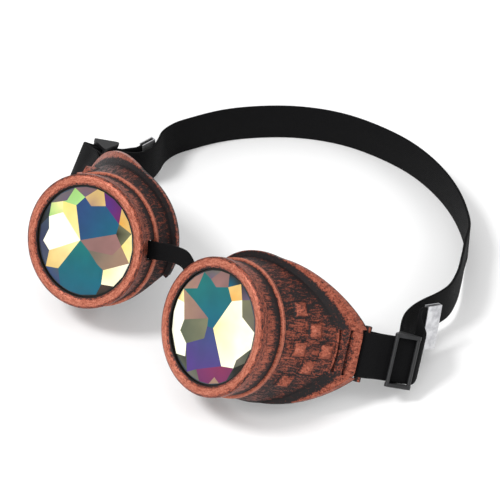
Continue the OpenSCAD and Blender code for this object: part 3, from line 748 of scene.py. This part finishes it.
BEHIND = [
    at(86.6, 69.6, 13.6, -0.17, 0.4, 0.9), at(83.6, 76.4, 14.4, -0.08, 0.2, 0.98),
    at(82.6, 84.6, 14.6, -0.02, 0.06, 1), at(83.4, 91.1, 14.6), at(84.9, 97.1, 14.5), at(85.5, 105.1, 14.2),
    at(82.4, 115.1, 13.6), at(76.4, 126.1, 12.6), at(70, 136.6, 11.6),
    at(64.2, 146.6, 10.6), at(55.8, 154.6, 10.05), at(43.1, 163.1, 10.05), at(26.1, 170.1, 10.05),
    at(5.3, 173.6, 10.05), at(-10.7, 172.6, 10.05), at(-32.7, 167.1, 10.05), at(-50.7, 157.1, 10.05),
    at(-65.2, 144.1, 10.05), at(-77.2, 128.6, 10.05), at(-83.7, 115.1, 10.05), at(-87.2, 105.1, 10.05),
    at(-86.7, 97.1, 10.5), at(-83.4, 90.1, 11, 0, 0.05, 1), at(-81, 83.1, 11.8, 0.02, 0.1, 0.99),
    at(-82.2, 75.1, 12.6, 0.06, 0.18, 0.98)]


def seat_station(side, seat, u, v):
    """A station by a slider's seat: u along the strap, v outward from the middle of the doubled strap."""
    outward = side * seat[1].cross(seat[2])
    return seat[0] + u * seat[1] + v * outward, seat[2]


def along_seat(side, seat, places, v):
    return [seat_station(side, seat, u, v) for u in places]


def beside(i, v):
    """The left bend's station i, moved outward by v."""
    before = bar_station(-1, LEFT_TURN, 3, 0)[0] if i == 0 else LEFT_BEND[i - 1][0]
    after = LEFT_SEAT[0] - 7 * LEFT_SEAT[1] if i == len(LEFT_BEND) - 1 else LEFT_BEND[i + 1][0]
    point, width = LEFT_BEND[i]
    return point - v * (after - before).cross(width).normalized(), width


def round_bar(side, turn, angles):
    turns = [math.radians(a) for a in angles]
    return [bar_station(side, turn, LOOP_R * math.cos(a), LOOP_R * math.sin(a)) for a in turns]


def strap_route():
    """All stations from the clip on the right tail to the clip on the left one."""
    to_bar = PAIR_START - RIGHT_SEAT_U
    near, far = PAIR_START / 3, 0.95 * LOOP_R
    clear, before = SLIDER_REACH + 1.5, -SLIDER_REACH - 1.2
    route = list(RIGHT_TAIL)
    route += along_seat(1, RIGHT_SEAT, (clear, SLIDER_REACH, 0, to_bar), LAYER)
    route.append(bar_station(1, RIGHT_TURN, near, far))
    route += round_bar(1, RIGHT_TURN, range(90, 271, 30))
    route.append(bar_station(1, RIGHT_TURN, near, -far))
    route += along_seat(1, RIGHT_SEAT, (to_bar, CENTRE_BAR_U - 3, CENTRE_BAR_U), -LAYER)
    for a in (70, 45, 20, 0):
        c, s = math.cos(math.radians(a)), math.sin(math.radians(a))
        route.append(seat_station(1, RIGHT_SEAT, CENTRE_BAR_U + FOLD_R * c, CENTRE_BAR_V + FOLD_R * s))
    route += [seat_station(1, RIGHT_SEAT, CENTRE_BAR_U + FOLD_R, CENTRE_BAR_V - v) for v in (1.7, 3.6)]
    route += BEHIND
    route += along_seat(-1, LEFT_SEAT, (SLIDER_REACH + 2, SLIDER_REACH, 0, -SLIDER_REACH, before), -LAYER)
    route += [beside(i, -LAYER) for i in (2, 1, 0)]
    route.append(bar_station(-1, LEFT_TURN, near, -far))
    route += round_bar(-1, LEFT_TURN, range(270, 89, -30))
    route.append(bar_station(-1, LEFT_TURN, near, far))
    route += [beside(i, LAYER) for i in (0, 1, 2)]
    route += along_seat(-1, LEFT_SEAT, (before, -SLIDER_REACH, 0, SLIDER_REACH, clear), LAYER)
    return route + LEFT_TAIL[::-1]


def band_route():
    """All stations of the nose band, from the stop in the right cup to the one in the left."""
    c, s = math.cos(math.radians(BAND_ANGLE)), math.sin(math.radians(BAND_ANGLE))

    def station(side, r):
        return cup_point(side, (r * c, BAND_Y, r * s)), cup_direction(side, (s, 0, -c))

    reach = [STOP_R - 0.2, STOP_R + 2.6, STOP_R + 5.6, STOP_R + 8.1]
    middle = [at(4.5, 20.6, LENS_HEIGHT + 2.5, 0, 0.45, 0.89),
              at(-2.5, 20.4, LENS_HEIGHT + 1.7, 0, 0.45, 0.89)]
    return [station(1, r) for r in reach] + middle + [station(-1, r) for r in reach[::-1]]


def smooth(stations, steps):
    """Curve through the stations, with steps between each pair, by the same rule as the CAD source."""
    count = len(stations)
    chords = [(stations[i + 1][0] - stations[i][0]).length for i in range(count - 1)]
    rises = [[(stations[i + 1][k] - stations[i][k]) / chords[i] for i in range(count - 1)] for k in (0, 1)]

    def slope(i, k):
        if i == 0 or i == count - 1:
            return rises[k][min(i, count - 2)]
        before, after = chords[i - 1], chords[i]
        return (rises[k][i] * before + rises[k][i - 1] * after) / (before + after)

    path = []
    for i, chord in enumerate(chords):
        for j in range(steps):
            t = j / steps
            first, second = 2 * t ** 3 - 3 * t * t + 1, 3 * t * t - 2 * t ** 3
            leaving, arriving = t ** 3 - 2 * t * t + t, t ** 3 - t * t
            path.append([stations[i][k] * first + stations[i + 1][k] * second
                         + slope(i, k) * chord * leaving + slope(i + 1, k) * chord * arriving
                         for k in (0, 1)])
    path.append(list(stations[-1]))
    return path


# Corners of the ribbons' section: radius as a share of the thickness, and steps round each
CORNER_SHARE, CORNER_STEPS = 0.42, 3


def section(width, thick):
    """Rounded rectangle as points (across the thickness, across the width), from the outer face round."""
    corner = CORNER_SHARE * thick
    points = []
    for quarter, (sx, sy) in enumerate(((1, 1), (-1, 1), (-1, -1), (1, -1))):
        for i in range(CORNER_STEPS + 1):
            a = math.radians(90 * (quarter + i / CORNER_STEPS))
            points.append((sx * (thick / 2 - corner) + corner * math.cos(a),
                           sy * (width / 2 - corner) + corner * math.sin(a)))
    return points


def add_ribbon(name, stations, width, thick, steps):
    """Flat elastic along the stations, with rounded edges and its own length and width as UV, in metres."""
    path = smooth(stations, steps)
    outline = section(width, thick)
    n = len(outline)
    gaps = [math.dist(outline[i], outline[(i + 1) % n]) for i in range(n)]
    around = [sum(gaps[:i]) for i in range(n + 1)]
    points, lengths, run = [], [], 0.0
    for i, (point, up) in enumerate(path):
        before, after = path[max(i - 1, 0)][0], path[min(i + 1, len(path) - 1)][0]
        up = up.normalized()
        aside = up.cross((after - before).normalized()).normalized()
        run += (point - before).length
        lengths.append(run)
        points += [to_part(point + aside * p[0] + up * p[1]) for p in outline]
    faces, uvs = [], []
    for i in range(len(path) - 1):
        for j in range(n):
            a, b = i * n + j, i * n + (j + 1) % n
            faces.append((a, b, b + n, a + n))
            uvs += [(lengths[i], around[j]), (lengths[i], around[j + 1]), (lengths[i + 1], around[j + 1]),
                    (lengths[i + 1], around[j])]
    last = (len(path) - 1) * n
    faces += [tuple(range(n))[::-1], tuple(range(last, last + n))]
    uvs += [(0, around[j]) for j in range(n)][::-1] + [(run, around[j]) for j in range(n)]
    mesh = bpy.data.meshes.new(name)
    mesh.from_pydata(points, [], faces)
    mesh.update()
    layer = mesh.uv_layers.new(name="UVMap")
    for loop, uv in zip(layer.data, uvs):
        loop.uv = (uv[0] * MM, uv[1] * MM)
    mesh.polygons.foreach_set("use_smooth", [True] * len(mesh.polygons))
    for polygon in mesh.polygons[-2:]:
        polygon.use_smooth = False
    return add_object(name, mesh)


# The object

def paint(node, material):
    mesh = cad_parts[node].data
    mesh.materials.clear()
    mesh.materials.append(material)


def dress_frame():
    """Better materials on the CAD solids that stay."""
    gasket = plastic_material("gasket", srgb(30, 30, 30), 0.75)
    stop = plastic_material("band_stop", srgb(34, 33, 33), 0.6)
    slider = plastic_material("slider", srgb(22, 22, 24), 0.38)
    clip = clip_material("clip")
    for side, word in ((1, "right"), (-1, "left")):
        paint(word + "_eyecup", cup_material(side, word + "_cup"))
        paint(word + "_bezel_ring", ring_material(side, word + "_ring"))
        paint(word + "_lens_gasket", gasket)
        paint(word + "_band_stop", stop)
        paint(word + "_slider", slider)
        paint(word + "_strap_clip", clip)


def add_lenses():
    for side, word, facets in ((1, "right", RIGHT_FACETS), (-1, "left", LEFT_FACETS)):
        glass = add_lens(side, word + "_faceted_lens", facets)
        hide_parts(word + "_lens")
        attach(glass, word + "_lens")


def add_elastics():
    strap = add_ribbon("woven_head_strap", strap_route(), STRAP_W, STRAP_T, 5)
    strap.data.materials.append(elastic_material("strap_elastic", 1.25, srgb(5, 5, 6)))
    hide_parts("head_strap")
    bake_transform(strap)
    nose = add_ribbon("woven_nose_band", band_route(), BAND_W, BAND_T, 6)
    nose.data.materials.append(elastic_material("nose_elastic", 1.0, srgb(5, 5, 6)))
    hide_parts("nose_band")
    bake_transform(nose)


dress_frame()
add_lenses()
add_elastics()
add_studio()
add_camera()
